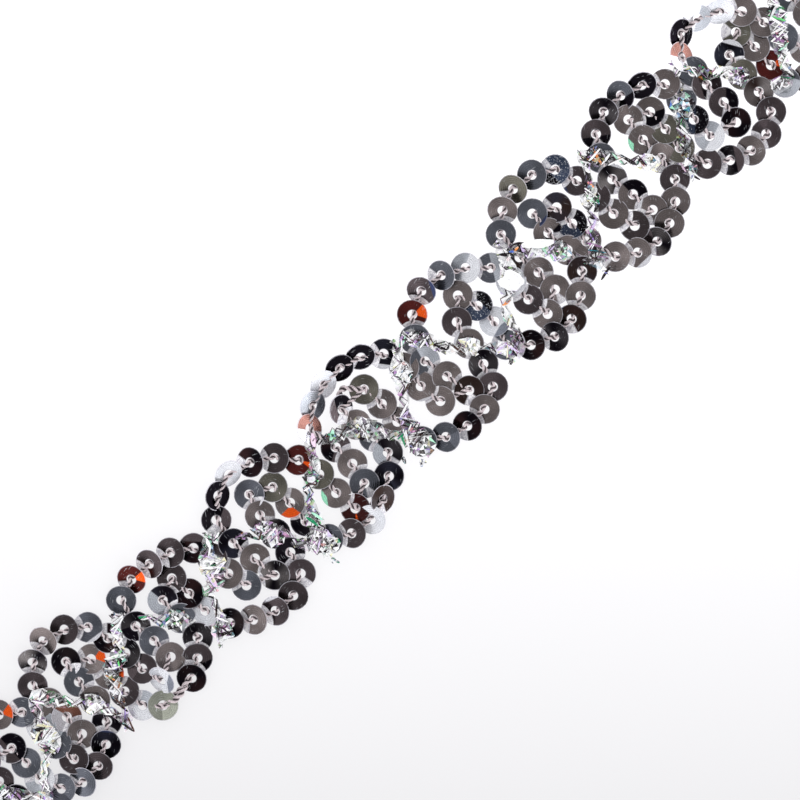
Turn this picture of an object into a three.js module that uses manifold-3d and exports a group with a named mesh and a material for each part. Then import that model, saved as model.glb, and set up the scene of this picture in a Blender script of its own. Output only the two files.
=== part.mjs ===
// Sequin trim, a cut length lying flat. Two strings of small flat sequins wind from edge to edge, each one's
// narrow turn inside the other's wide arch, and a crinkled iridescent film tape zigzags over both of them.
// Millimetres. X runs along the trim, Y across it, and Z up from the surface that it lies on.
import * as THREE from "three";
import { mergeVertices } from "three/addons/utils/BufferGeometryUtils.js";
import Module from "manifold-3d";

const wasm = await Module();
wasm.setup();

// Driving dimensions
const cutLength = 158; // between the outermost sequin centres that the cut leaves
const sequinRadius = 2.0;
const sequinSides = 10;
const holeRadius = 0.68;
const holeSides = 5;
const sequinTop = 0.85; // top face over the surface, at the middle of a sequin
const sequinSlope = 0.16; // rise per mm along the string, so that each sequin laps over the next
const leastLap = 0.35; // sequins that lap less than this show a stretch of bare thread between them
const threadWide = 0.8;
const threadTop = 0.6;
const pieceGap = 0.32; // clear distance between the strings, and between a string and the tape
const tapeThick = 0.4;
const tapeWide = 3.0; // where it is spread over a sequin
const tapeNarrow = 1.4; // where it is pinched between sequins
const tapeRipple = 0.16; // height of the crinkles
const tapeStations = 5; // sections along one leg of the zigzag, wide and narrow by turns
const sampleSteps = 24; // points to a stretch, for measuring lengths along a string

// Each row of a string's chart is one repeat: where the arch starts, its crown and corner, the foot and the heel
// of the narrow turn, and the neck before the next arch. Then come the steps from sequin to sequin along the
// arch, down to the foot and on from the neck, and the step of the arch that has lost its sequin, if any.
// X runs from a point near the middle of the trim, and Y is out from its centre line.
const chartColumns = ["startX", "startY", "crownX", "crownY", "cornerX", "cornerY", "footX", "footY",
  "heelX", "heelY", "neckX", "neckY", "archSteps", "downSteps", "linkSteps", "bareStep"];
const upperChart = [
  [-79.0, 6.8, -72.8, 9.6, -65.0, 6.2, -64.5, -3.1, -61.4, -1.5, -61.6, 4.6, 5, 3, 1, 0],
  [-61.5, 7.7, -56.7, 10.9, -50.8, 8.0, -48.8, -3.9, -45.8, -2.6, -46.2, 3.6, 4, 4, 1, 0],
  [-45.1, 7.4, -40.6, 8.4, -33.4, 5.5, -31.9, -3.0, -28.3, -4.7, -29.2, 2.2, 4, 3, 1, 0],
  [-28.6, 6.0, -22.9, 9.2, -15.2, 3.9, -14.4, -6.0, -11.2, -4.5, -10.5, 1.6, 5, 3, 1, 0],
  [-11.2, 5.8, -4.3, 8.8, 2.8, 5.9, 3.7, -3.9, 7.4, -5.6, 6.0, 1.3, 5, 3, 2, 0],
  [9.2, 6.9, 14.0, 8.3, 21.0, 3.9, 22.0, -5.8, 25.0, -4.2, 24.7, 2.2, 4, 3, 1, 0],
  [25.1, 6.1, 30.2, 9.2, 36.3, 7.1, 38.5, -5.7, 41.7, -5.9, 40.8, 0.8, 4, 4, 2, 0],
  [43.5, 6.6, 48.2, 8.1, 54.7, 4.8, 54.0, -4.3, 57.8, -5.5, 58.6, 0.8, 4, 3, 2, 0],
  [58.8, 5.8, 61.9, 8.3, 68.8, 4.4, 71.2, -5.0, 74.6, -5.2, 74.6, 1.4, 4, 3, 1, 0],
  [75.6, 5.6, 80.0, 8.4, 88.0, 5.0, 89.0, -5.0, 92.0, -5.0, 92.0, 1.5, 5, 3, 1, 0],
];
const lowerChart = [
  [-88.0, 6.4, -82.0, 8.6, -74.6, 4.6, -73.0, -5.0, -69.4, -3.8, -69.7, 1.8, 5, 3, 1, 0],
  [-68.5, 4.7, -64.2, 6.3, -57.9, 2.7, -56.1, -6.8, -53.5, -4.7, -53.4, 1.5, 4, 3, 1, 0],
  [-53.0, 4.5, -48.8, 7.3, -41.4, 3.3, -41.2, -3.5, -38.3, -4.7, -38.2, 1.5, 5, 2, 1, 2],
  [-37.0, 5.0, -30.2, 8.4, -25.7, 7.0, -23.1, -5.3, -20.2, -3.8, -20.3, 2.5, 4, 4, 1, 0],
  [-19.8, 6.4, -13.4, 8.5, -6.1, 3.8, -6.4, -4.6, -2.4, -4.4, -2.3, 1.8, 5, 3, 1, 0],
  [-1.8, 6.0, 4.9, 8.9, 10.0, 7.5, 12.7, -2.0, 15.3, -4.4, 16.3, 1.5, 4, 3, 1, 0],
  [15.2, 4.8, 21.7, 8.8, 29.3, 5.0, 30.0, -5.1, 32.9, -3.4, 32.5, 2.6, 5, 3, 1, 0],
  [33.8, 6.8, 39.8, 9.3, 46.7, 5.1, 47.9, -4.9, 50.7, -3.6, 50.1, 2.6, 5, 3, 1, 0],
  [51.2, 6.7, 57.6, 9.7, 62.1, 7.8, 63.5, -1.5, 66.3, -3.0, 66.5, 3.4, 4, 3, 1, 0],
  [66.2, 6.4, 72.6, 8.9, 79.6, 5.0, 80.6, -5.0, 83.6, -4.0, 83.6, 1.8, 5, 3, 1, 0],
  [85.0, 6.4, 90.0, 8.6, 97.0, 4.6, 98.0, -5.0, 101.0, -4.0, 101.0, 1.8, 5, 3, 1, 0],
];

// Each row of the tape's chart is one zigzag: its turn in the upper valley, then its turn in the lower one.
const tapeColumns = ["upperX", "upperY", "lowerX", "lowerY"];
const tapeChart = [
  [-76.8, 3.6, -70.6, -4.4],
  [-62.0, 6.4, -56.0, -5.2],
  [-47.3, 6.0, -39.4, -5.8],
  [-30.6, 5.0, -20.8, -7.0],
  [-11.8, 4.9, -3.2, -6.7],
  [5.3, 5.4, 15.4, -6.2],
  [23.6, 5.2, 31.4, -6.6],
  [40.4, 5.6, 48.9, -6.3],
  [57.4, 5.8, 66.2, -6.6],
  [73.6, 4.2, 77.2, -1.2],
];

function named(columns, rows) {
  return rows.map((row) => Object.fromEntries(columns.map((name, i) => [name, row[i]])));
}

// The sequins of one string, each with its place and the direction in which the string runs there.
// side is 1 for the string that arches along the upper edge, and -1 for the lower one.
function layOutString(chart, side) {
  const rows = named(chartColumns, chart);
  const corners = ["start", "crown", "corner", "foot", "heel", "neck"];
  const knots = rows.flatMap((row) =>
    corners.map((name) => new THREE.Vector3(row[`${name}X`], side * row[`${name}Y`], 0)));
  const curve = new THREE.CatmullRomCurve3(knots, false, "centripetal");
  const last = knots.length - 1;
  const sequins = [];
  rows.slice(0, -1).forEach((row, i) => {
    const from = i * corners.length;
    const stretches = [[0, 2, row.archSteps], [2, 3, row.downSteps], [3, 4, 1], [4, 5, 2], [5, 6, row.linkSteps]];
    for (const [a, b, steps] of stretches) {
      const placed = evenSteps(curve, (from + a) / last, (from + b) / last, steps);
      sequins.push(...placed.filter((_, n) => a > 0 || n === 0 || n !== row.bareStep));
    }
  });
  return sequins.filter((s) => Math.abs(s.place.x) <= cutLength / 2);
}

// Places at equal distances along one stretch of a curve, its first end included.
function evenSteps(curve, t0, t1, steps) {
  const points = [];
  const lengths = [0];
  for (let i = 0; i <= sampleSteps; i++) {
    points.push(curve.getPoint(THREE.MathUtils.lerp(t0, t1, i / sampleSteps)));
    if (i > 0) lengths.push(lengths[i - 1] + points[i].distanceTo(points[i - 1]));
  }
  const places = [];
  for (let n = 0; n < steps; n++) {
    const wanted = (lengths[sampleSteps] * n) / steps;
    const i = Math.max(1, lengths.findIndex((length) => length >= wanted));
    const part = (wanted - lengths[i - 1]) / (lengths[i] - lengths[i - 1]);
    const place = points[i - 1].clone().lerp(points[i], part);
    const along = points[i].clone().sub(points[i - 1]).normalize();
    places.push({ place, along });
  }
  return places;
}

function toSolid(geometry) {
  const bare = geometry.clone();
  bare.deleteAttribute("normal");
  bare.deleteAttribute("uv");
  const merged = mergeVertices(bare, 1e-5);
  const vertProperties = new Float32Array(merged.attributes.position.array);
  const triVerts = new Uint32Array(merged.index.array);
  return new wasm.Manifold(new wasm.Mesh({ numProp: 3, vertProperties, triVerts }));
}

function toGeometry(solid) {
  const mesh = solid.getMesh();
  const geometry = new THREE.BufferGeometry();
  geometry.setAttribute("position", new THREE.BufferAttribute(new Float32Array(mesh.vertProperties), 3));
  geometry.setIndex(new THREE.BufferAttribute(new Uint32Array(mesh.triVerts), 1));
  geometry.computeVertexNormals();
  return geometry;
}

// An upright prism between two heights. Its top face leans where a slope is given.
function prism(place, radius, sides, bottom, top, along, slope) {
  const geometry = new THREE.CylinderGeometry(radius, radius, 1, sides);
  geometry.rotateZ(-Math.PI / 2).rotateY(-Math.PI / 2); // the axis upright, with a corner on +X
  const spots = geometry.attributes.position;
  for (let i = 0; i < spots.count; i++) {
    const x = spots.getX(i);
    const y = spots.getY(i);
    const lift = slope ? slope * (x * along.x + y * along.y) : 0;
    spots.setXYZ(i, x + place.x, y + place.y, spots.getZ(i) > 0 ? top + lift : bottom);
  }
  return toSolid(geometry);
}

// The doubled sewing thread where two sequins of a string stand apart.
function bareThread(from, to) {
  const length = from.distanceTo(to);
  const geometry = new THREE.BoxGeometry(length, threadWide, threadTop);
  geometry.translate(length / 2, 0, threadTop / 2);
  geometry.rotateZ(Math.atan2(to.y - from.y, to.x - from.x)).translate(from.x, from.y, 0);
  return toSolid(geometry);
}

function makeString(sequins, neighbours) {
  const lapped = sequins.map((s) =>
    prism(s.place, sequinRadius, sequinSides, 0, sequinTop, s.along, sequinSlope));
  for (let i = 1; i < sequins.length; i++) {
    const [a, b] = [sequins[i - 1].place, sequins[i].place];
    if (a.distanceTo(b) > 2 * sequinRadius - leastLap) lapped.push(bareThread(a, b));
  }
  const [below, above] = [-sequinTop, 3 * sequinTop]; // cutters pass right through
  const holes = sequins.map((s) => prism(s.place, holeRadius, holeSides, below, above));
  const reach = 2 * sequinRadius + pieceGap;
  const close = neighbours.filter((n) => sequins.some((s) => s.place.distanceTo(n.place) < reach));
  const keepClear = close.map((n) =>
    prism(n.place, sequinRadius + pieceGap, sequinSides, below, above));
  const body = wasm.Manifold.union(lapped).subtract(wasm.Manifold.union(holes));
  return keepClear.length ? body.subtract(wasm.Manifold.union(keepClear)) : body;
}

// One straight leg of the tape, wide over the sequins and pinched between them, its top crinkled.
function tapeLeg(from, to) {
  const lowest = sequinTop + sequinSlope * sequinRadius + pieceGap;
  const along = to.clone().sub(from).normalize();
  const across = new THREE.Vector3(-along.y, along.x, 0);
  const start = from.clone().addScaledVector(along, -tapeNarrow / 2);
  const end = to.clone().addScaledVector(along, tapeNarrow / 2);
  const corners = [];
  for (let i = 0; i < tapeStations; i++) {
    const part = i / (tapeStations - 1);
    const middle = start.clone().lerp(end, part);
    const spread = 0.5 + 0.5 * Math.cos(4 * Math.PI * part);
    const half = THREE.MathUtils.lerp(tapeNarrow, tapeWide, spread) / 2;
    const crest = i % 2 ? tapeRipple : 0;
    const section = [[-1, 0], [1, crest / 2], [1, tapeThick + crest], [-1, tapeThick + crest / 2]];
    for (const [sideways, height] of section) {
      const corner = middle.clone().addScaledVector(across, sideways * half);
      corners.push(corner.x, corner.y, lowest + height);
    }
  }
  const faces = [0, 2, 1, 0, 3, 2];
  for (let i = 0; i < tapeStations - 1; i++) {
    for (let j = 0; j < 4; j++) {
      const a = 4 * i + j;
      const b = 4 * i + ((j + 1) % 4);
      faces.push(a, b, b + 4, a, b + 4, a + 4);
    }
  }
  const e = 4 * (tapeStations - 1);
  faces.push(e, e + 1, e + 2, e, e + 2, e + 3);
  const geometry = new THREE.BufferGeometry();
  geometry.setAttribute("position", new THREE.BufferAttribute(new Float32Array(corners), 3));
  geometry.setIndex(faces);
  return toSolid(geometry);
}

function makeTape() {
  const turns = named(tapeColumns, tapeChart).flatMap((row) =>
    [new THREE.Vector3(row.upperX, row.upperY, 0), new THREE.Vector3(row.lowerX, row.lowerY, 0)]);
  const legs = [];
  for (let i = 0; i < turns.length - 1; i++) legs.push(tapeLeg(turns[i], turns[i + 1]));
  return wasm.Manifold.union(legs);
}

function asMesh(name, solid, colour, roughness, metalness) {
  const material = new THREE.MeshStandardMaterial({ color: colour, roughness, metalness });
  const mesh = new THREE.Mesh(toGeometry(solid), material);
  mesh.name = name;
  return mesh;
}

const upperSequins = layOutString(upperChart, 1);
const lowerSequins = layOutString(lowerChart, -1);

const group = new THREE.Group();
group.add(asMesh("upper_string", makeString(upperSequins, []), 0x6d6868, 0.28, 0.85));
group.add(asMesh("lower_string", makeString(lowerSequins, upperSequins), 0x3a373a, 0.28, 0.85));
group.add(asMesh("film_tape", makeTape(), 0xdbe4e0, 0.18, 0.7));

// The origin is the middle of the underside.
const centres = new THREE.Box3().setFromPoints([...upperSequins, ...lowerSequins].map((s) => s.place));
const middle = centres.getCenter(new THREE.Vector3());
group.position.set(-middle.x, -middle.y, 0);

export default group;
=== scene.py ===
import math
import random
import bpy
import numpy as np
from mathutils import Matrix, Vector


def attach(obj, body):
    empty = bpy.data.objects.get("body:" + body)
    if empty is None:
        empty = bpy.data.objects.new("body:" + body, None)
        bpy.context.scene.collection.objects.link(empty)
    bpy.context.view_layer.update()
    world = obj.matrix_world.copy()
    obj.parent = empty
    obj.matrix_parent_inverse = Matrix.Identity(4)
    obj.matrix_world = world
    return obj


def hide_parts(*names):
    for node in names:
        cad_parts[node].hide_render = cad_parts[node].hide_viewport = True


# Sequin trim lying flat: two winding strings of small sequins, laced together by a crinkled film tape.
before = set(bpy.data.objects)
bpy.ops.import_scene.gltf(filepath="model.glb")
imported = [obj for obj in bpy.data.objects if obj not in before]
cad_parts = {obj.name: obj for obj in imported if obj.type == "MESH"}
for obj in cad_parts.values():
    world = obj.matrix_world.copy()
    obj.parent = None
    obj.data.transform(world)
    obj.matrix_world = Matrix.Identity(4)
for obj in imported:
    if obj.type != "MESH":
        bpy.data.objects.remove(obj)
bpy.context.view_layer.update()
mm = 0.001
body = "root"

# How the strings wind, in millimetres from a point near the middle of the trim. One row is one repeat: the
# start, crown and corner of an arch, the foot and heel of the narrow turn, and the neck before the next arch.
# Then come the steps from sequin to sequin along the arch, down to the foot and on from the neck. The letters
# are the finishes of the sequins in that order. A small one is a sequin that is tipped up on its thread, and a
# dash is a place that has lost its sequin.
corners = ("start", "crown", "corner", "foot", "heel", "neck")
upperRows = [
    (-79, 6.8, -72.8, 9.6, -65, 6.2, -64.5, -3.1, -61.4, -1.5, -61.6, 4.6, 5, 3, 1, "TSDTRSLLDTAT"),
    (-61.5, 7.7, -56.7, 10.9, -50.8, 8, -48.8, -3.9, -45.8, -2.6, -46.2, 3.6, 4, 4, 1, "DKTDSKKDcTSK"),
    (-45.1, 7.4, -40.6, 8.4, -33.4, 5.5, -31.9, -3, -28.3, -4.7, -29.2, 2.2, 4, 3, 1, "SMDDKDTSKTK"),
    (-28.6, 6, -22.9, 9.2, -15.2, 3.9, -14.4, -6, -11.2, -4.5, -10.5, 1.6, 5, 3, 1, "KkcKDUOJVSTK"),
    (-11.2, 5.8, -4.3, 8.8, 2.8, 5.9, 3.7, -3.9, 7.4, -5.6, 6, 1.3, 5, 3, 2, "plckkKTTTNTLS"),
    (9.2, 6.9, 14, 8.3, 21, 3.9, 22, -5.8, 25, -4.2, 24.7, 2.2, 4, 3, 1, "MDSLLCDTTTN"),
    (25.1, 6.1, 30.2, 9.2, 36.3, 7.1, 38.5, -5.7, 41.7, -5.9, 40.8, 0.8, 4, 4, 2, "STOSBDDTDTTKS"),
    (43.5, 6.6, 48.2, 8.1, 54.7, 4.8, 54, -4.3, 57.8, -5.5, 58.6, 0.8, 4, 3, 2, "DKSkTSBLKDKS"),
    (58.8, 5.8, 61.9, 8.3, 68.8, 4.4, 71.2, -5, 74.6, -5.2, 74.6, 1.4, 4, 3, 1, "pklcTTSTDTS"),
    (75.6, 5.6, 80, 8.4, 88, 5, 89, -5, 92, -5, 92, 1.5, 5, 3, 1, ""),
]
lowerRows = [
    (-88, 6.4, -82, 8.6, -74.6, 4.6, -73, -5, -69.4, -3.8, -69.7, 1.8, 5, 3, 1, "TDTSDTKDDDSL"),
    (-68.5, 4.7, -64.2, 6.3, -57.9, 2.7, -56.1, -6.8, -53.5, -4.7, -53.4, 1.5, 4, 3, 1, "SSDKKTSKRRD"),
    (-53, 4.5, -48.8, 7.3, -41.4, 3.3, -41.2, -3.5, -38.3, -4.7, -38.2, 1.5, 5, 2, 1, "LG-KDKSEDKC"),
    (-37, 5, -30.2, 8.4, -25.7, 7, -23.1, -5.3, -20.2, -3.8, -20.3, 2.5, 4, 4, 1, "KTDDDKKTSOQK"),
    (-19.8, 6.4, -13.4, 8.5, -6.1, 3.8, -6.4, -4.6, -2.4, -4.4, -2.3, 1.8, 5, 3, 1, "SDCnKESTkOTT"),
    (-1.8, 6, 4.9, 8.9, 10, 7.5, 12.7, -2, 15.3, -4.4, 16.3, 1.5, 4, 3, 1, "SSKTDKTDTBC"),
    (15.2, 4.8, 21.7, 8.8, 29.3, 5, 30, -5.1, 32.9, -3.4, 32.5, 2.6, 5, 3, 1, "SKKNTNTTSNBT"),
    (33.8, 6.8, 39.8, 9.3, 46.7, 5.1, 47.9, -4.9, 50.7, -3.6, 50.1, 2.6, 5, 3, 1, "TTKTTDTJTTOO"),
    (51.2, 6.7, 57.6, 9.7, 62.1, 7.8, 63.5, -1.5, 66.3, -3, 66.5, 3.4, 4, 3, 1, "DKTDDNOKOTM"),
    (66.2, 6.4, 72.6, 8.9, 79.6, 5, 80.6, -5, 83.6, -4, 83.6, 1.8, 5, 3, 1, "LTKDTSTTKTDT"),
    (85, 6.4, 90, 8.6, 97, 4.6, 98, -5, 101, -4, 101, 1.8, 5, 3, 1, ""),
]
cutLength = 158.0  # between the outermost sequin centres that the cut leaves


def curvePoint(knots, at):
    # a centripetal Catmull-Rom curve through the knots, as the solids have
    i = min(int(at), len(knots) - 2)
    w = at - i
    b, c = knots[i], knots[i + 1]
    a = knots[i - 1] if i else 2 * b - c
    d = knots[i + 2] if i + 2 < len(knots) else 2 * c - b
    ab, bc, cd = (math.sqrt((q - p).length) for p, q in ((a, b), (b, c), (c, d)))
    leave = ((b - a) / ab - (c - a) / (ab + bc) + (c - b) / bc) * bc
    arrive = ((c - b) / bc - (d - b) / (bc + cd) + (d - c) / cd) * bc
    square = w * w * (3 * (c - b) - 2 * leave - arrive)
    return b + w * leave + square + w ** 3 * (2 * (b - c) + leave + arrive)


def finePoints(knots, fine):
    return [curvePoint(knots, i / fine) for i in range(fine * (len(knots) - 1) + 1)]


def evenSteps(knots, start, end, steps, samples=24):
    points = [curvePoint(knots, start + (end - start) * i / samples) for i in range(samples + 1)]
    lengths = [0.0]
    for p, q in zip(points, points[1:]):
        lengths.append(lengths[-1] + (q - p).length)
    found = []
    for n in range(steps):
        wanted = lengths[-1] * n / steps
        i = next(k for k in range(1, samples + 1) if lengths[k] >= wanted)
        part = (wanted - lengths[i - 1]) / (lengths[i] - lengths[i - 1])
        found.append((points[i - 1].lerp(points[i], part), (points[i] - points[i - 1]).normalized()))
    return found


def layOutString(rows, side):
    knots = [Vector((row[2 * k], side * row[2 * k + 1], 0)) for row in rows for k in range(len(corners))]
    sequins = []
    for i, row in enumerate(rows[:-1]):
        archSteps, downSteps, linkSteps, finishes = row[12:]
        first = i * len(corners)
        places = []
        for a, b, steps in ((0, 2, archSteps), (2, 3, downSteps), (3, 4, 1), (4, 5, 2), (5, 6, linkSteps)):
            for n, (place, along) in enumerate(evenSteps(knots, first + a, first + b, steps)):
                places.append((place, along, corners[a], (n + 0.5) / steps))
        for (place, along, stretch, part), finish in zip(places, finishes):
            if finish != "-" and abs(place.x) <= cutLength / 2:
                along = np.array(along)
                sequins.append(dict(place=place, along=along, finish=finish, stretch=stretch, part=part))
    return sequins


upperSequins = layOutString(upperRows, 1)
lowerSequins = layOutString(lowerRows, -1)
spots = np.array([s["place"] for s in upperSequins + lowerSequins])
middle = Vector((spots.min(axis=0) + spots.max(axis=0)) / 2)
print("laid out", len(upperSequins), "and", len(lowerSequins), "sequins, middle", middle[:2])


def onTrim(x, y, z=0.0):
    # a point of the chart, measured from the middle of the trim
    return np.array([x - middle.x, y - middle.y, z])


for s in upperSequins + lowerSequins:
    s["place"] = onTrim(*s["place"].xy)


def heading(degrees):
    return np.array([math.cos(math.radians(degrees)), math.sin(math.radians(degrees)), 0.0])


def leftOf(way):
    return np.array([-way[1], way[0], 0.0])


# Nodes and materials

def feed(node, values):
    # links and plain values for the inputs of a node, by name or number
    for key, value in values.items():
        if isinstance(value, bpy.types.NodeSocket):
            node.id_data.links.new(value, node.inputs[key])
        else:
            node.inputs[key].default_value = value


def addNode(tree, kind, values=(), **settings):
    node = tree.nodes.new("ShaderNode" + kind)
    for key, value in settings.items():
        setattr(node, key, value)
    feed(node, dict(values))
    return node


def mathNode(tree, operation, *values):
    return addNode(tree, "Math", enumerate(values), operation=operation).outputs[0]


def times(tree, *values):
    return mathNode(tree, "MULTIPLY", *values)


def vectorNode(tree, operation, *values):
    node = addNode(tree, "VectorMath", enumerate(values), operation=operation)
    return node.outputs["Value" if operation in ("LENGTH", "DISTANCE", "DOT_PRODUCT") else "Vector"]


def combine(tree, *values):
    return addNode(tree, "CombineXYZ", enumerate(values)).outputs[0]


def rangeNode(tree, value, low, high, toLow=0.0, toHigh=1.0, interpolation="LINEAR"):
    labels = ("Value", "From Min", "From Max", "To Min", "To Max")
    values = zip(labels, (value, low, high, toLow, toHigh))
    return addNode(tree, "MapRange", values, interpolation_type=interpolation).outputs["Result"]


def mixColour(tree, factor, first, second, blend="MIX"):
    values = {0: factor, 6: first, 7: second}
    return addNode(tree, "Mix", values, data_type="RGBA", blend_type=blend).outputs[2]


def noise(tree, place, scale, detail=2.0, **others):
    values = dict(Vector=place, Scale=scale, Detail=detail, **others)
    return addNode(tree, "TexNoise", values).outputs["Fac"]


def attribute(tree, name, output):
    return addNode(tree, "Attribute", attribute_name=name).outputs[output]


def objectPlace(tree):
    return addNode(tree, "TexCoord").outputs["Object"]


def bumpNode(tree, strength, distance, height):
    return addNode(tree, "Bump", dict(Strength=strength, Distance=distance, Height=height)).outputs[0]


def newMaterial(name):
    material = bpy.data.materials.new(name)
    material.use_nodes = True
    return material, material.node_tree, material.node_tree.nodes["Principled BSDF"]


# Camera and light

view = dict(height=592.6, lens=200, sensor=36, turn=-45, near=0.01, far=20)


def makeCamera(v):
    data = bpy.data.cameras.new("camera")
    data.lens = v["lens"]
    data.sensor_width = v["sensor"]
    data.clip_start = v["near"]
    data.clip_end = v["far"]
    camera = bpy.data.objects.new("camera", data)
    camera.location = onTrim(0, 0, v["height"]) * mm
    camera.rotation_euler = (0, 0, math.radians(v["turn"]))
    bpy.context.scene.collection.objects.link(camera)
    bpy.context.scene.camera = camera


studio = dict(
    overhead=0.86, sides=2.38, overheadEdge=0.6, sidesEdge=0.36, tint=(0.985, 0.985, 1.0, 1),
    patches=2.3, uneven=(0.35, 0.65, 0.72, 1.25), floorSize=3.0, floorColour=(0.9, 0.895, 0.91),
    floorGlow=1.19, floorPaper=(0.18, 0.179, 0.182, 1), floorFall=0.616, floorFallReach=53,
    downPicture=(-math.sqrt(0.5), -math.sqrt(0.5), 0),
)


def makeStudio(v):
    world = bpy.data.worlds.new("studio")
    bpy.context.scene.world = world
    world.use_nodes = True
    tree = world.node_tree
    tree.nodes.clear()
    where = addNode(tree, "TexCoord").outputs["Generated"]
    up = addNode(tree, "SeparateXYZ", {0: where}).outputs["Z"]
    height = rangeNode(tree, up, v["sidesEdge"], v["overheadEdge"], v["sides"], v["overhead"], "SMOOTHSTEP")
    # soft unevenness, as of lamps and cards round the table
    uneven = rangeNode(tree, noise(tree, where, v["patches"], 1.0), *v["uneven"])
    sky = addNode(tree, "Background", {"Color": v["tint"], "Strength": times(tree, height, uneven)})
    addNode(tree, "OutputWorld", {"Surface": sky.outputs[0]})

    bpy.ops.object.select_all(action="DESELECT")
    bpy.ops.mesh.primitive_plane_add(size=v["floorSize"], location=(0, 0, 0))
    floor = bpy.context.object
    floor.name = "floor"
    # the floor glows: painted light that keeps the shadows off it, and its glow falls off towards the lower
    # corner of the view as painted shade
    paper, tree, shader = newMaterial("pale_paper")
    down = vectorNode(tree, "DOT_PRODUCT", objectPlace(tree), v["downPicture"])
    reach = v["floorFallReach"] * mm
    fall = rangeNode(tree, down, -reach, reach, 1.0, v["floorFall"])
    shade = addNode(tree, "VectorMath", {0: v["floorColour"], "Scale": fall}, operation="SCALE")
    feed(shader, {"Base Color": v["floorPaper"], "Emission Color": shade.outputs["Vector"], "Roughness": 0.9,
                  "Specular IOR Level": 0.1, "Emission Strength": v["floorGlow"]})
    floor.data.materials.append(paper)
    bpy.context.scene.view_settings.view_transform = "Standard"


makeCamera(view)
makeStudio(studio)
print("camera and studio")


# Node groups that several finishes use

def newGroup(name, inputs, outputs):
    # a group with number inputs, or vector ones where no value is given, and number outputs
    group = bpy.data.node_groups.new(name, "ShaderNodeTree")
    for label, value in inputs.items():
        kind = "NodeSocketVector" if value is None else "NodeSocketFloat"
        socket = group.interface.new_socket(label, in_out="INPUT", socket_type=kind)
        if value is not None:
            socket.default_value = value
    for label in outputs:
        group.interface.new_socket(label, in_out="OUTPUT", socket_type="NodeSocketFloat")
    return group, group.nodes.new("NodeGroupInput").outputs, group.nodes.new("NodeGroupOutput")


def useGroup(tree, group, values):
    return addNode(tree, "Group", values, node_tree=group).outputs


def makeSectorGroup():
    # a mask bounded by two straight lines, from the signed distances to them
    group, given, result = newGroup("lightSector", {"First Line": 0.0, "Second Line": 0.0, "Softness": 0.03},
                                    ["Mask"])
    soft = given["Softness"]
    low = times(group, soft, -1.0)
    sides = [rangeNode(group, given[label], low, soft) for label in ("First Line", "Second Line")]
    feed(result, {"Mask": mathNode(group, "MINIMUM", *sides)})
    return group


def makeGlowGroup():
    # a painted highlight: two opposite lighter sectors, one weaker than the other, as a turned disc shows
    # under a lamp
    group, given, result = newGroup("turnedGlow", {"Disc": None, "Axis": None, "Strength": 0.5}, ["Mask"])
    facing = vectorNode(group, "DOT_PRODUCT", vectorNode(group, "NORMALIZE", given["Disc"]), given["Axis"])
    both = mathNode(group, "POWER", mathNode(group, "ABSOLUTE", facing), 2.0)
    stronger = rangeNode(group, facing, -0.4, 0.4, 0.5, 1.0)
    feed(result, {"Mask": times(group, times(group, both, stronger), given["Strength"])})
    return group


def makeRingsGroup():
    # fine turned rings about the hole of a sequin, from its own flat coordinates, and its two cut edges
    outputs = ["Height", "Tint", "Rim", "Hole"]
    group, given, result = newGroup("turnedRings", {"Disc": None, "Rings": 7.5}, outputs)
    radius = vectorNode(group, "LENGTH", given["Disc"])
    turns = times(group, radius, given["Rings"])
    wave = mathNode(group, "SINE", times(group, turns, 2 * math.pi))
    broad = noise(group, combine(group, turns), 6.0)
    feed(result, {
        "Height": rangeNode(group, wave, -1.0, 1.0),
        "Tint": rangeNode(group, mathNode(group, "MULTIPLY_ADD", wave, 0.15, broad), 0.1, 0.9),
        "Rim": rangeNode(group, radius, 0.93, 0.985),
        "Hole": rangeNode(group, radius, 0.36, 0.32),
    })
    return group


def makeSpecksGroup():
    # small bright specks and fine scratches where a metallised film has rubbed
    group, given, result = newGroup("rubbedSpecks", {"Place": None, "Amount": 0.0, "Own": None},
                                    ["Specks", "Haze", "Scratches", "Grain"])
    place = given["Place"]
    coarse = noise(group, place, 4000.0, 3.0, Roughness=0.7)
    limit = rangeNode(group, given["Amount"], 0.0, 1.0, 0.8, 0.56)
    haze = noise(group, place, 700.0, 3.0)
    # two crossing sets of fine lines, each broken up by the haze
    cuts = []
    for degrees, scale in ((35, 1.6), (-48, 1.3)):
        turned = addNode(group, "Mapping", {"Vector": given["Own"], "Rotation": (0, 0, math.radians(degrees)),
                                            "Scale": (1.0, 9.0, 1.0)}).outputs[0]
        cuts.append(rangeNode(group, noise(group, turned, scale, 1.0), 0.68, 0.74))
    feed(result, {
        "Specks": rangeNode(group, mathNode(group, "SUBTRACT", coarse, limit), 0.0, 0.06),
        "Haze": rangeNode(group, haze, 0.3, 0.7),
        "Grain": rangeNode(group, noise(group, place, 7000.0), 0.3, 0.7),
        "Scratches": times(group, mathNode(group, "MAXIMUM", *cuts), rangeNode(group, haze, 0.42, 0.6)),
    })
    return group


sectorGroup = makeSectorGroup()
glowGroup = makeGlowGroup()
ringsGroup = makeRingsGroup()
specksGroup = makeSpecksGroup()

sequinFinish = dict(
    rings=7.5, scratches=0.5, crescent=1.23, soft=0.05, ringDepth=0.00002, markWeight=0.8,
    ringTint=(0.74, 1.22), grainTint=(0.8, 1.2), streaks=(0.46, 0.6),
    # the next two tones are the pale painted reflection on the wedge and crescent and its darker streaks
    clear=(0.97, 0.96, 0.98, 1), reflectedGrey=(0.6, 0.58, 0.65, 1),
    mark=(0.72, 0.74, 0.78, 1), edge=(0.62, 0.6, 0.66, 1),
)
greyFinish = dict(sequinFinish, roughness=0.24, ringBump=0.35, rimLight=0.8, holeLight=0.5)
darkFinish = dict(sequinFinish, roughness=0.2, ringBump=0.3, rimLight=0.78, holeLight=0.44)


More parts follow.
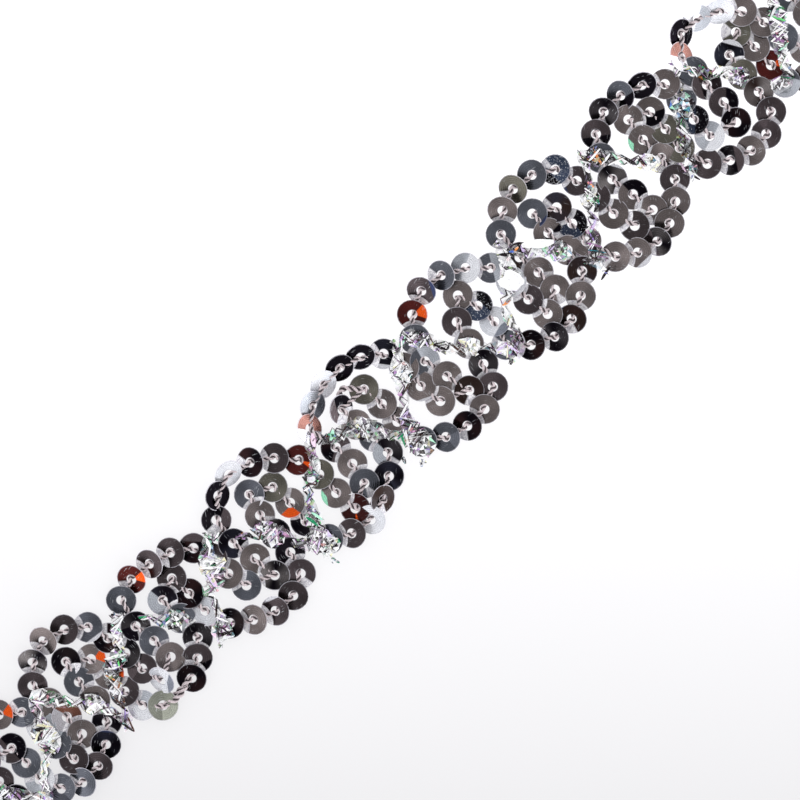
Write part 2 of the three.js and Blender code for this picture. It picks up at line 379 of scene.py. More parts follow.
def makeSequinMaterial(name, v):
    material, tree, shader = newMaterial(name)
    disc = attribute(tree, "disc", "Vector")
    # the two lines of the painted reflection carry the amount of rubbed specks as their third value
    fold, wedge, lap, glow = (
        addNode(tree, "SeparateXYZ", {0: attribute(tree, key, "Vector")}).outputs
        for key in ("foldLines", "wedgeLines", "lap", "glowAxis"))
    axis = combine(tree, glow[0], glow[1])
    # the scratches turn with each sequin, and its glow shifts them to a place of their own
    own = vectorNode(tree, "ADD", disc, axis)
    rings = useGroup(tree, ringsGroup, {"Disc": disc, "Rings": v["rings"]})
    wear = useGroup(tree, specksGroup, {"Place": objectPlace(tree), "Amount": fold[2], "Own": own})
    # painted highlight: the glow tone laid over two opposite sectors
    lit = useGroup(tree, glowGroup, {"Disc": disc, "Axis": axis, "Strength": glow[2]})[0]
    # painted reflection: a sector of another tone over the sequin, lighter on some sequins and darker on
    # others
    folded = useGroup(tree, sectorGroup, {"First Line": fold[0], "Second Line": fold[1]})[0]
    colour = mixColour(tree, lit, attribute(tree, "faceTone", "Color"), attribute(tree, "glowTone", "Color"))
    colour = mixColour(tree, folded, colour, attribute(tree, "foldTone", "Color"))
    grain = times(tree, rangeNode(tree, rings["Tint"], 0.0, 1.0, *v["ringTint"]),
                  rangeNode(tree, wear["Grain"], 0.0, 1.0, *v["grainTint"]))
    colour = mixColour(tree, 1.0, colour, combine(tree, grain, grain, grain), "MULTIPLY")
    # a painted reflection, pale and streaked, lies as a wedge at the rear or as a crescent along the rim of
    # the sequin before it
    sector = {"First Line": wedge[0], "Second Line": wedge[1], "Softness": v["soft"]}
    paleReflection = useGroup(tree, sectorGroup, sector)[0]
    fromLap = vectorNode(tree, "DISTANCE", disc, combine(tree, lap[0], lap[1]))
    crescent = rangeNode(tree, fromLap, v["crescent"], v["crescent"] - v["soft"])
    paleReflection = mathNode(tree, "MAXIMUM", times(tree, paleReflection, wedge[2]), times(tree, crescent, lap[2]))
    white = times(tree, paleReflection, rangeNode(tree, wear["Haze"], 0.0, 0.6, 0.7, 1.0))
    streaks = rangeNode(tree, noise(tree, own, 3.0, 3.0, Distortion=3.0), *v["streaks"])
    colour = mixColour(tree, white, colour, mixColour(tree, streaks, v["clear"], v["reflectedGrey"]))
    marks = mathNode(tree, "MAXIMUM", wear["Specks"], times(tree, wear["Scratches"], v["scratches"]))
    colour = mixColour(tree, times(tree, marks, v["markWeight"]), colour, v["mark"])
    # the cut edges catch the light here and there round the rim, and round the hole
    rim = times(tree, rings["Rim"], rangeNode(tree, wear["Haze"], 0.25, 0.6, 0.35, 1.0))
    hole = times(tree, rings["Hole"], v["holeLight"])
    edges = mathNode(tree, "MAXIMUM", times(tree, rim, v["rimLight"]), hole)
    rough = rangeNode(tree, wear["Haze"], 0.0, 1.0, v["roughness"] - 0.05, v["roughness"] + 0.1)
    feed(shader, {
        "Base Color": mixColour(tree, edges, colour, v["edge"]),
        "Metallic": times(tree, attribute(tree, "shine", "Fac"), rangeNode(tree, white, 0.0, 1.0, 1.0, 0.0)),
        "Roughness": mathNode(tree, "ADD", rough, times(tree, white, 0.3)),
        "Specular IOR Level": 0.2,
        "Normal": bumpNode(tree, v["ringBump"], v["ringDepth"], rings["Height"]),
    })
    return material


# Finishes of the sequins by letter: the film's colour and how metallic it is.
taupe = (0.13, 0.11, 0.108)
maroon = (0.06, 0.011, 0.01)
tones = {
    "T": (taupe, 0.9),
    "D": ((0.05, 0.04, 0.043), 0.92),  # dark brown-grey
    "K": ((0.003, 0.002, 0.004), 0.92),  # near black
    "N": ((0.026, 0.016, 0.014), 0.92),  # dark brown
    "S": ((0.078, 0.083, 0.099), 0.9),  # slate
    "L": ((0.38, 0.4, 0.44), 0.7),  # light slate
    "O": ((0.1, 0.094, 0.078), 0.9),  # olive grey
    "G": ((0.245, 0.255, 0.215), 0.88),  # light olive grey
    "C": ((0.74, 0.75, 0.79), 0.3),  # nearly clear
    "P": ((0.31, 0.15, 0.125), 0.82),  # salmon
    "A": ((0.115, 0.05, 0.036), 0.88),  # red-brown
    "M": (maroon, 0.88),  # with an orange light at the upper right in the picture
    "U": (maroon, 0.88),  # with a narrower one at the lower right
    "V": ((0.04, 0.01, 0.01), 0.88),  # dark maroon with a thin one below
    "R": (taupe, 0.9),  # with an orange light at the right
    "Q": (taupe, 0.9),  # with one below
    "J": (taupe, 0.9),  # with a mint light at the left
    "E": ((0.006, 0.004, 0.007), 0.9),  # black with a light lower left half
    "B": ((0.03, 0.04, 0.068), 0.85),  # rubbed dark blue
}
# tones of the painted highlight on the blackest ones: greys, brown, dark red
darkGlows = [
    (0.06, 0.055, 0.06), (0.11, 0.1, 0.105), (0.22, 0.2, 0.2), (0.036, 0.026, 0.026), (0.034, 0.015, 0.015),
    (0.032, 0.034, 0.052), (0.024, 0.02, 0.026),
]
clearGlow = (0.55, 0.57, 0.62)
clearReflection = (0.2, 0.215, 0.26)
redBrownReflection = (0.4, 0.385, 0.415)
orangeLight = (0.74, 0.092, 0.012)
mintLight = (0.36, 0.85, 0.58)
blueLight = (0.03, 0.038, 0.085)
paleLight = (0.62, 0.62, 0.66)
# Painted reflections of lights in a fixed direction, in degrees from the trim's own: tone, direction, offset
# and half angle.
lights = {
    "M": (orangeLight, -30, 0.1, 30), "U": (orangeLight, -68, 0.12, 16), "V": (orangeLight, -128, 0.3, 12),
    "R": (orangeLight, -28, 0.2, 41), "Q": (orangeLight, -130, 0.2, 44), "J": (mintLight, 158, 0.66, 78),
    "E": (tones["L"][0], 178, 0.02, 88),
}
# How the sequins of one finish differ: spreads of tone and of the painted highlight, and the chances of a
# painted reflection of another tone over a half, along an edge or in a ray, and of rubbed specks. An offset as
# large as "none" keeps the painted reflection off the sequin.
variety = dict(
    face=(0.75, 1.04), glow=(1.5, 2.1), glowStrength=(0.35, 0.95), offset=(-0.1, 0.45),
    half=0.12, edge=0.24, ray=0.34, rubbed=0.22, none=2.0,
)


def scaled(colour, factor):
    return tuple(factor * c for c in colour)


def finishSequin(letter, runs, pick, v):
    # the tone of one sequin, the tone of a painted reflection over a sector of it and the lines between them:
    # a direction, an offset and a half angle, in degrees from the way that its string runs
    face, shine = tones[letter]
    face = scaled(face, pick.uniform(*v["face"]))
    look = dict(
        face=face, fold=face, shine=shine, turn=pick.uniform(0, 360), offset=v["none"], half=90, specks=0,
        glow=scaled(face, pick.uniform(*v["glow"])), glowTurn=pick.uniform(0, 360),
        glowStrength=pick.uniform(*v["glowStrength"]))
    if letter in "KNE":
        look["glow"] = pick.choice(darkGlows)
    elif letter == "C":
        look["glow"] = clearGlow
    chance = pick.random()
    turn, offset, half = pick.uniform(0, 360), pick.uniform(*v["offset"]), 90.0
    fold = None
    if letter in lights:
        fold, toward, offset, half = lights[letter]
        turn = toward - runs
        half *= pick.uniform(0.85, 1.15)
    elif letter == "A":
        fold, turn, offset = redBrownReflection, 195 - runs, -0.1
    elif letter == "P":
        fold, turn, offset = tones["C"][0], -140 - runs, 0.1
    elif letter == "C":
        fold, offset, half = clearReflection, 0.45 if chance < 0.5 else v["none"], 80
        look["specks"] = 0.25
    elif letter == "B":
        fold = tones["K"][0]
        look["specks"] = pick.uniform(0.7, 1.0)
    elif letter == "L":
        fold = tones["C" if chance < 0.5 else "S"][0]
    elif chance < v["half"] and letter not in "OG":
        fold = tones["K"][0] if letter in "TOSD" else scaled(tones["D"][0], 1.6)
    elif chance < v["edge"]:
        fold = pick.choice([blueLight, paleLight, paleLight])
        offset = pick.uniform(0.62, 0.85)
    elif chance < v["ray"]:
        fold = scaled(face, 1.9)
        offset = pick.uniform(-0.2, 0.3)
        half = pick.uniform(20, 45)
    if fold:
        look.update(fold=fold, turn=turn, offset=offset, half=half)
    if letter not in "BC" and pick.random() < v["rubbed"]:
        look["specks"] = pick.uniform(0.15, 0.55)
    return look


# Sequins

sequin = dict(
    radius=2.06, hole=0.65, thick=0.07, sides=22, slope=0.165, slopes=(0.05, 0.3),
    riseSpread=1.575, leanSpread=1.925, footLift=0.24, heelDrop=0.04, floorGap=0.01,
    tipped=(34, 44), tippedClear=(36, 46), tipLift=0.62, backRise=-0.08, backLift=0.45,
    wedgeShares=(0.24, 0.32, 0.44), wedgeHalf=(22, 42), wedgeSwing=24, wedgeOffset=0.12,
    wedgeStrength=(0.75, 1.0), lapShift=0.06, lapSwing=0.18,
)


def modelSequin(v):
    # one flat ring, inset from a disc, given its thickness and then kept as arrays for the copies
    bpy.ops.object.select_all(action="DESELECT")
    bpy.ops.mesh.primitive_circle_add(vertices=v["sides"], radius=v["radius"] * mm, fill_type="NGON")
    disc = bpy.context.object
    bpy.ops.object.mode_set(mode="EDIT")
    bpy.ops.mesh.select_mode(type="FACE")
    bpy.ops.mesh.select_all(action="SELECT")
    bpy.ops.mesh.inset(thickness=(v["radius"] - v["hole"]) * mm, use_even_offset=False)
    bpy.ops.mesh.delete(type="FACE")
    bpy.ops.mesh.select_all(action="SELECT")
    bpy.ops.mesh.extrude_region_move(TRANSFORM_OT_translate={"value": (0, 0, -v["thick"] * mm)})
    bpy.ops.mesh.select_all(action="SELECT")
    bpy.ops.mesh.normals_make_consistent(inside=False)
    bpy.ops.object.mode_set(mode="OBJECT")
    points = np.array([p.co for p in disc.data.vertices], float) / mm
    faces = [tuple(f.vertices) for f in disc.data.polygons]
    bpy.data.objects.remove(disc, do_unlink=True)
    return points, faces


def sectorLines(flat, turn, offset, half, strength):
    # signed distances of flat points to the two edges of a sector that opens along turn, and its strength
    found = []
    for side in (1, -1):
        edge = math.radians(turn + side * half)
        inward = Vector((math.sin(edge), -math.cos(edge))) * side
        along = Vector((math.cos(math.radians(turn)), math.sin(math.radians(turn)))) * offset
        found.append((flat[:, 0] - along.x) * inward.x + (flat[:, 1] - along.y) * inward.y)
    return np.column_stack([*found, np.full(len(flat), strength)])


def collect(made, points, faces, tones=()):
    # adds one form's points, faces and face tones to those of a piece
    points = np.asarray(points).reshape(-1, 3)
    made["points"].append(points)
    made["faces"] += [tuple(made["count"] + k for k in face) for face in faces]
    made["tones"] += tones
    made["count"] += len(points)


def newForms():
    return dict(points=[], faces=[], tones=[], count=0)


def setAttribute(mesh, name, values, domain="POINT"):
    values = np.asarray(values, np.float32)
    width = values.shape[1] if values.ndim > 1 else 1
    kind, key = {1: ("FLOAT", "value"), 3: ("FLOAT_VECTOR", "vector"), 4: ("FLOAT_COLOR", "color")}[width]
    mesh.attributes.new(name, kind, domain).data.foreach_set(key, values.ravel())


def joinedPiece(name, made, material):
    mesh = bpy.data.meshes.new(name)
    mesh.from_pydata((np.vstack(made["points"]) * mm).tolist(), [], made["faces"])
    mesh.materials.append(material)
    piece = bpy.data.objects.new(name, mesh)
    bpy.context.scene.collection.objects.link(piece)
    bpy.ops.object.select_all(action="DESELECT")
    piece.select_set(True)
    bpy.context.view_layer.objects.active = piece
    return piece


def placeSequin(s, along, base, height, archRise, pick, v):
    # turns one sequin the way it lies, raises its front, tips it and keeps it off the floor
    lift = {"foot": v["footLift"], "heel": -v["heelDrop"]}.get(s["stretch"], 0.0)
    rise = v["slope"] + math.radians(pick.gauss(0, 1) * v["riseSpread"])
    lean = math.radians(pick.gauss(0, 1) * v["leanSpread"])
    rise = max(v["slopes"][0], min(v["slopes"][1], rise))
    if s["stretch"] == "start" and s["finish"].isupper():
        rise += archRise * math.sin(math.pi * s["part"])
    if s["finish"] == "G":
        rise = v["backRise"]
        lift += v["backLift"]
    if s["finish"].islower():
        lean = math.radians(pick.uniform(*v["tippedClear" if s["finish"] == "c" else "tipped"]))
        lift += v["radius"] * math.sin(lean) * v["tipLift"]
    s["rise"] = rise
    s["height"] = max(height + lift, v["radius"] * math.sin(rise) + v["thick"] + v["floorGap"])
    u, w, h = base.T
    placed = s["place"] + np.outer(u * math.cos(rise), along)
    placed += np.outer(w * math.cos(lean) - h * math.sin(lean), leftOf(along))
    tall = s["height"] + u * math.sin(rise) + w * math.sin(lean) + h * math.cos(lean)
    placed[:, 2] = np.maximum(tall, v["floorGap"] + h + v["thick"])
    return placed


def makeSequinString(name, sequins, height, archRise, material, seed, v):
    base, baseFaces = modelSequin(v)
    flat = base[:, :2] / v["radius"]
    pick = random.Random(seed)
    made = newForms()
    layers = []
    before = None
    for s in sequins:
        runs = math.degrees(math.atan2(s["along"][1], s["along"][0]))
        look = finishSequin(s["finish"].upper(), runs, pick, variety)
        if s["finish"] == "k":
            look["glow"] = look["face"]
        # the clear one at a foot in the photo is turned out of the string
        along = heading(-90) if s["finish"] == "c" and s["stretch"] == "foot" else s["along"]
        collect(made, placeSequin(s, along, base, height, archRise, pick, v), baseFaces)
        swing = 180 + pick.uniform(-1, 1) * v["wedgeSwing"]
        kind = "plain"
        if s["finish"] not in "Cc":
            kind = pick.choices((kind, "wedge", "crescent"), v["wedgeShares"])[0]
        strength = pick.uniform(*v["wedgeStrength"])
        wedge = sectorLines(flat, swing, v["wedgeOffset"], pick.uniform(*v["wedgeHalf"]),
                            strength if kind == "wedge" else 0.0)
        lapping = (before["place"] - s["place"]) / v["radius"] if before else np.full(3, 9.0)
        lap = (lapping @ along + pick.uniform(-1, 1) * v["lapShift"],
               lapping @ leftOf(along) + pick.uniform(-1, 1) * v["lapSwing"],
               strength if kind == "crescent" else 0.0)
        values = dict(
            disc=np.pad(flat, ((0, 0), (0, 1))), faceTone=(*look["face"], 1), foldTone=(*look["fold"], 1),
            glowTone=(*look["glow"], 1),
            foldLines=sectorLines(flat, look["turn"], look["offset"], look["half"], look["specks"]),
            wedgeLines=wedge, glowAxis=heading(look["glowTurn"]) + (0, 0, look["glowStrength"]), lap=lap,
            shine=(look["shine"],))
        layers.append({key: np.broadcast_to(value, (len(flat), np.shape(value)[-1]))
                       for key, value in values.items()})
        before = s
    piece = joinedPiece(name, made, material)
    for key in layers[0]:
        setAttribute(piece.data, key, np.concatenate([layer[key] for layer in layers]))
    bpy.ops.object.shade_smooth_by_angle(angle=math.radians(30))
    return piece


sequinStrings = (
    ("upper_sequins", upperSequins, 0.66, 0.4, "grey_sequins", greyFinish, 11, "upper_string"),
    ("lower_sequins", lowerSequins, 0.58, 0.28, "dark_sequins", darkFinish, 23, "lower_string"),
)
for name, sequins, height, archRise, finish, finishValues, seed, node in sequinStrings:
    material = makeSequinMaterial(finish, finishValues)
    piece = makeSequinString(name, sequins, height, archRise, material, seed, sequin)
    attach(piece, body)
    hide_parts(node)
print("sequins")


# Sewing thread, two plies twisted together, run through the holes of each string

thread = dict(
    ply=0.19, apart=0.17, pitch=2.1, step=0.18, sides=7, below=0.42, hook=0.27,
    sway=0.1, tail=3.2, tailBend=1.0, looseThick=1.3, floor=0.38, loopHeights=(0.55, 0.95, 0.55),
    hookStops=((-0.1, 1.0, 0.2), (0.24, 0.7, 0.06)), leaveAt=0.6, leaveDrop=0.37, meetLift=0.2,
    colour=(0.53, 0.455, 0.47), shade=(0.045, 0.03, 0.035, 1), fibres=9000.0,
)


def frames(points):
    # running direction, sideways and upward at each point of a path that stays roughly level
    forward = np.gradient(points, axis=0)
    forward /= np.linalg.norm(forward, axis=1)[:, None]
    sideways = np.cross((0.0, 0.0, 1.0), forward)
    sideways /= np.maximum(np.linalg.norm(sideways, axis=1), 1e-6)[:, None]
    return forward, sideways, np.cross(forward, sideways)


def runLengths(points):
    return np.concatenate([[0], np.cumsum(np.linalg.norm(np.diff(points, axis=0), axis=1))])


def atRun(points, run, wanted):
    return np.column_stack([np.interp(wanted, run, points[:, k]) for k in range(3)])


def tube(centre, radius, sides, sideways, upward):
    angles = np.arange(sides) * 2 * math.pi / sides
    spokes = np.einsum("k,ij->ikj", np.cos(angles), sideways) + np.einsum("k,ij->ikj", np.sin(angles), upward)
    last = (len(centre) - 1) * sides
    faces = [tuple(reversed(range(sides))), tuple(last + k for k in range(sides))]
    for first in range(0, last, sides):
        for k in range(sides):
            a, b = first + k, first + (k + 1) % sides
            faces.append((a, b, b + sides, a + sides))
    return centre[:, None] + radius * spokes, faces, spokes


def addThread(made, path, phase, thickness, v):
    # two plies laid round a path, with a value at each point for how deep it lies between them, for the
    # painted shade there
    points = np.asarray(path, float)
    run = runLengths(points)
    wanted = np.linspace(0, run[-1], max(4, int(run[-1] / v["step"])))
    points = atRun(points, run, wanted)
    forward, sideways, upward = frames(points)
    for ply in (0, math.pi):
        turn = 2 * math.pi * wanted / v["pitch"] + ply + phase
        out = np.cos(turn)[:, None] * sideways + np.sin(turn)[:, None] * upward
        centre = points + out * v["apart"] * thickness
        rings, faces, spokes = tube(centre, v["ply"] * thickness, v["sides"], sideways, upward)
        collect(made, rings, faces)
        made["gaps"].append(np.clip(0.25 - np.einsum("ijk,ik->ij", spokes, out), 0, 1).ravel())


def threadThrough(sequins, pick, v):
    # the thread hooks through each hole, runs on hidden under the front of that sequin, comes out at its rim
    # and lies over the rear of the next one as far as its hole
    path = []
    for before, after in zip(sequins, sequins[1:]):
        gap = after["place"] - before["place"]
        length = np.linalg.norm(gap)
        ahead = gap / length
        sway = pick.uniform(-1, 1) * v["sway"]
        hook = v["hook"] * pick.choice((-1, 1))
        low, high = before["height"], after["height"]
        steep, nextSteep = math.tan(before["rise"]), math.tan(after["rise"])
        rim = sequin["radius"] * math.cos(before["rise"])
        leaves = low + v["leaveAt"] * steep - v["leaveDrop"]
        meets = high - (length - rim) * nextSteep + v["meetLift"]
        stops = [(along, share * hook, low + lift) for along, share, lift in v["hookStops"]]
        stops.append((v["leaveAt"], 0.0, leaves))
        for along in (1.15, rim - 0.3):
            straight = leaves + (meets - leaves) * (along - v["leaveAt"]) / (rim - 0.5)
            stops.append((along, 0.25 * sway, min(straight, low + along * steep - v["below"])))
        stops.append((rim + 0.12, sway, meets))
        stops.append((max(rim + 0.3, length - 0.62), sway, high - 0.62 * nextSteep + 0.3))
        stops.append((length - 0.3, sway, high - 0.3 * nextSteep + 0.31))
        for along, sideStep, tall in stops:
            path.append(before["place"] + ahead * along + leftOf(ahead) * sideStep)
            path[-1][2] = max(tall, v["floor"])
    return finePoints([Vector(p) for p in path], 3)


def endTail(s, direction, pick, v):
    # a short loose end where the trim is cut
    forward = s["along"] * direction
    bend = pick.uniform(-1, 1) * v["tailBend"]
    t = np.linspace(0, 1, 9)[:, None]
    path = s["place"] + forward * v["tail"] * t + leftOf(forward) * bend * t * t
    start = s["height"] - 0.1
    path[:, 2:] = start + (v["floor"] - start) * np.minimum(1.0, 1.6 * t)
    return path


# Places where a stretch of thread stands loose of the sequins: start, top of the loop and end, in the chart's
# millimetres.
looseLoops = [
    ((-6.4, 4.7), (-4.6, 6.5), (-2.5, 4.4)),
    ((-51.6, -6.3), (-48.9, -7.1), (-46.0, -6.3)),
    ((-13.6, -7.0), (-12.0, -7.3), (-10.2, -7.2)),
    ((-13.5, -7.8), (-12.0, -7.9), (-10.4, -7.9)),
    ((-49.2, -2.3), (-48.7, -3.2), (-48.2, -4.0)),
    ((-8.2, 7.8), (-6.8, 8.3), (-5.3, 8.9)),
]


def makeThreadMaterial(name, v):
    material, tree, shader = newMaterial(name)
    fibres = noise(tree, objectPlace(tree), v["fibres"])
    # painted shade where the two plies face each other
    gapShade = rangeNode(tree, attribute(tree, "plyGapShade", "Fac"), 0.0, 0.62)
    colour = mixColour(tree, rangeNode(tree, fibres, 0.3, 0.7), (*scaled(v["colour"], 0.75), 1),
                       (*scaled(v["colour"], 1.35), 1))
    feed(shader, {
        "Base Color": mixColour(tree, gapShade, colour, v["shade"]),
        "Roughness": rangeNode(tree, fibres, 0.3, 0.7, 0.38, 0.6),
        "Sheen Weight": 0.25,
        "Normal": bumpNode(tree, 0.4, 0.00003, fibres),
    })
    return material


def makeThread(name, strings, v):
    pick = random.Random(5)
    runs = []
    for sequins in strings:
        runs += [(threadThrough(sequins, pick, v), 1.0), (endTail(sequins[0], -1, pick, v), 1.0),
                 (endTail(sequins[-1], 1, pick, v), 1.0)]
    for loop in looseLoops:
        knots = [Vector(onTrim(*spot, tall)) for spot, tall in zip(loop, v["loopHeights"])]
        runs.append((finePoints(knots, 8), v["looseThick"]))
    made = dict(newForms(), gaps=[])
    for path, thickness in runs:
        addThread(made, path, pick.uniform(0, 6), thickness, v)
    piece = joinedPiece(name, made, makeThreadMaterial(name, v))
    setAttribute(piece.data, "plyGapShade", np.concatenate(made["gaps"]))
    bpy.ops.object.shade_smooth_by_angle(angle=math.radians(80))
    return piece


threadPiece = makeThread("sewing_thread", (upperSequins, lowerSequins), thread)
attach(threadPiece, body)
print("thread", len(threadPiece.data.polygons), "faces")


# Film tape: a crumpled clear tape with narrow slit strands of the same film folding to and fro over it

film = dict(
    height=1.28, under=0.2, floor=0.05, thick=0.025, sheetStep=0.5, sheetAcross=4,
    crumple=(0.17, 0.17, 0.15), sheetShare=0.9, slant=0.9, slantTurn=0.8, sheetDark=0.35,
    sheetSpread=(0.45, 1.35), strands=7, nextWidth=0.46, strandWide=(0.2, 0.56),
    darkWide=(0.15, 0.3), strandDark=1.25, swing=(0.6, 1.8), swingWidth=(1.35, 0.12),
    reach=(0.25, 1.02), lift=(0.04, 0.3), roll=0.1, border=(0.6, 0.84), borderShare=0.72,
    strokeHeight=2.08, rosetteFrom=2.6, rosetteShare=0.98, rosetteRise=0.26, rosetteDark=1.2,
    rosetteCover=(1.0, 1.0, 1.0, 0.5, 0.2, 0.05),
    rosetteRings=((0.36, 0.0, 0.06), (0.7, 0.5, 0.12), (1.0, 0.0, 0.24)),
    bitHeight=1.1, bitSpread=0.8, bitDark=1.3,
)
# The tape's stations one by one, in the chart's millimetres: a letter for each one's mood, then where it is
# and how wide it is spread. The moods are W white, G green, B dark creases painted as shade, V violet, S
# silver and T teal. A small letter means that the tape runs under the sequins there.
tapeRows = [
    ("SSVGVVWGWWV", (-76.8, 3.6, 2), (-75, 1.2, 2.8), (-73, -1.2, 1.6), (-71.6, -3.2, 1.6),
     (-70.6, -4.2, 2), (-69.6, -2.6, 1.2), (-68.2, -1.2, 0.8), (-66.5, -0.3, 2), (-65.2, 1, 3.4),
     (-64.9, 2.5, 3.4), (-63.8, 4.2, 1.5)),
    ("WGGBWVVVBVBBGW", (-62.2, 6.4, 2), (-61, 4.8, 2.2), (-60, 3.2, 1.8), (-58.7, 1.8, 1.2),
     (-57.7, 0.5, 3), (-57, -1.2, 2.2), (-56.2, -3, 1), (-56, -4.9, 1.5), (-55, -3, 0.8), (-54.3, -1, 1.6),
     (-53.4, 0.4, 2.2), (-52.4, 1.8, 2.8), (-50.8, 2.3, 2.6), (-49.4, 3.6, 1.4)),
    ("SwVGSwgVGWBGVWG", (-47.3, 6.1, 1.4), (-45.4, 4.4, 0.7), (-43.8, 2.8, 1), (-43, 1.4, 1.8),
     (-41.8, 0.4, 3.3), (-40.6, -1.6, 1.4), (-39.2, -3.6, 1.6), (-38.2, -4.8, 3.2), (-39, -6.2, 2.2),
     (-37.2, -3.4, 1.2), (-36.5, -1.4, 1.2), (-35.9, 0.1, 1.6), (-34.6, 0.2, 2.4), (-33.2, 2.1, 3.7),
     (-32.2, 4, 1.6)),
    ("GbBVVsVSWSGVBGWV", (-30.6, 4.9, 1.6), (-28.8, 3, 0.7), (-27, 1.5, 1.2), (-25.3, 0.5, 2.8),
     (-24.5, -0.9, 3.5), (-23.4, -2.6, 1.6), (-22.4, -4.9, 1.8), (-20.9, -5.7, 3.8), (-20.4, -7.2, 3),
     (-20, -4.6, 2.2), (-19.3, -3.1, 2.6), (-18.4, -1.4, 1.4), (-17, 0.3, 1.5), (-15.8, 0.9, 2.4),
     (-14.3, 1.6, 1.8), (-13.3, 3.2, 1.2)),
    ("VBGSSSGSVBBSWW", (-12, 4.4, 2.4), (-10.7, 3.3, 1.4), (-9.6, 2.9, 2), (-7.4, 1.9, 2.2),
     (-5.9, 0.4, 3.5), (-4.4, -2, 1.2), (-2.9, -4.2, 2.4), (-2.2, -6.3, 3.8), (-1.3, -3, 2.2),
     (-0.6, -1.4, 1.4), (0.5, -0.3, 1.5), (1.2, 0.7, 1.5), (2.6, 2.4, 3.3), (3.7, 4, 1.5)),
    ("GGSBWBWtWVBWBVWW", (5.2, 5.4, 1.6), (6.6, 5.2, 2), (7.2, 4.1, 2.6), (8.5, 2.6, 1.6), (8.9, 1.1, 1.8),
     (10, -0.4, 1.6), (11.6, -1.6, 3), (13, -3.2, 1.2), (14.6, -4.8, 2.2), (15.2, -6.2, 2.4),
     (17.2, -4.8, 1.4), (17.8, -2.6, 1.4), (18.9, -0.9, 1.4), (20.2, -0.2, 2), (21.6, 0.7, 3.4),
     (23, 2.9, 1.8)),
    ("BBWVGsTTVVBWBW", (23.6, 4.7, 1.3), (24.8, 3.2, 1.8), (26.4, 1.9, 2.4), (28, 0.4, 2),
     (29.1, -1.1, 3.1), (30, -3.2, 1.2), (31.4, -5, 1.6), (31.8, -6.2, 2.2), (33, -3, 2), (34.6, -1.9, 1.6),
     (35.5, -0.7, 1.4), (36.7, 1, 2.7), (38.2, 2.5, 1), (39.4, 4.3, 1)),
    ("BBTBWbvTBBGTTb", (39.9, 5.7, 1.8), (41, 4.7, 3), (42.7, 2.9, 2), (44.3, 0.8, 1.2), (45.8, -1.2, 2.8),
     (47.2, -2.9, 1.8), (48.6, -4.3, 1.4), (48.9, -6, 2), (50.2, -3.6, 1.4), (51, -2.5, 2.2),
     (52.3, -0.8, 1.6), (52.9, 0.4, 1.8), (54.2, 1.2, 3.6), (56, 2.8, 1)),
    ("WBGWVgwGGWVVGW", (57.5, 5.4, 1.5), (58.4, 3.3, 1), (59.4, 2.1, 2.2), (61, 0.8, 1.4),
     (62.3, -1.3, 2.9), (62.9, -3.2, 1.8), (64.6, -4.6, 1.2), (65.4, -6.2, 2.4), (66.4, -6.6, 2),
     (68.4, -3.6, 1.4), (69.4, -2.2, 2.4), (70.3, -0.8, 2.4), (71.6, 0.8, 3), (72.6, 2.6, 1.4)),
    ("WSS", (73.6, 4.2, 1.6), (75.4, 1.6, 2.6), (77.2, -1.2, 2)),
]
stations = [(*spot, mood) for moods, *places in tapeRows for spot, mood in zip(places, moods)]
# the darks among the inks are painted shade and reflected dark in the film's creases and facets; the whites
# are its silver and its painted highlights
inks = dict(
    white=(0.98, 0.98, 0.99), pearl=(0.88, 0.89, 0.92), grey=(0.34, 0.34, 0.36),
    smoke=(0.1, 0.092, 0.096), black=(0.014, 0.01, 0.012), brown=(0.075, 0.038, 0.03),
    mint=(0.48, 0.88, 0.66), leaf=(0.02, 0.27, 0.12), lilac=(0.74, 0.62, 0.9),
    pink=(0.93, 0.7, 0.86), plum=(0.3, 0.16, 0.32), sky=(0.45, 0.76, 0.9),
    teal=(0.04, 0.26, 0.33), blue=(0.08, 0.16, 0.55), cream=(0.93, 0.9, 0.62),
    orange=(0.85, 0.3, 0.08), lime=(0.16, 0.72, 0.22), magenta=(0.72, 0.38, 0.64),
    violet=(0.4, 0.28, 0.68),
)
darkInks = [ink for ink, colour in inks.items() if max(colour) < 0.2]
# How often each ink comes in each mood, and how much the clear sheet hides of what lies under it there.
filmMoods = dict(
    W=(dict(white=14, cream=1.8, pearl=2, grey=1, mint=0.6, lilac=0.5, leaf=0.3,
           black=1.9), 0.92),
    G=(dict(white=5, pearl=1.8, mint=1.1, leaf=1.6, lime=0.7, grey=1.6, smoke=2.2,
           black=4.4, pink=0.6, violet=0.4), 0.16),
    B=(dict(white=4.2, pearl=1.4, grey=1.4, smoke=2.4, black=7, brown=2, lilac=0.6,
           orange=0.3), 0.14),
    V=(dict(white=5.6, pearl=1.6, lilac=1.4, pink=1.3, magenta=0.5, violet=0.7, grey=1.3,
           plum=1.2, smoke=1.2, black=4, mint=0.4), 0.2),
    S=(dict(white=5.2, pearl=2, grey=2.4, smoke=2.4, black=4.4, mint=0.4, lilac=0.5,
           cream=0.5, leaf=0.4, magenta=0.2), 0.16),
    T=(dict(white=4.8, pearl=1.5, sky=1.3, teal=1.7, blue=0.4, mint=0.5, grey=1.5,
           smoke=1.4, black=4), 0.18),
)
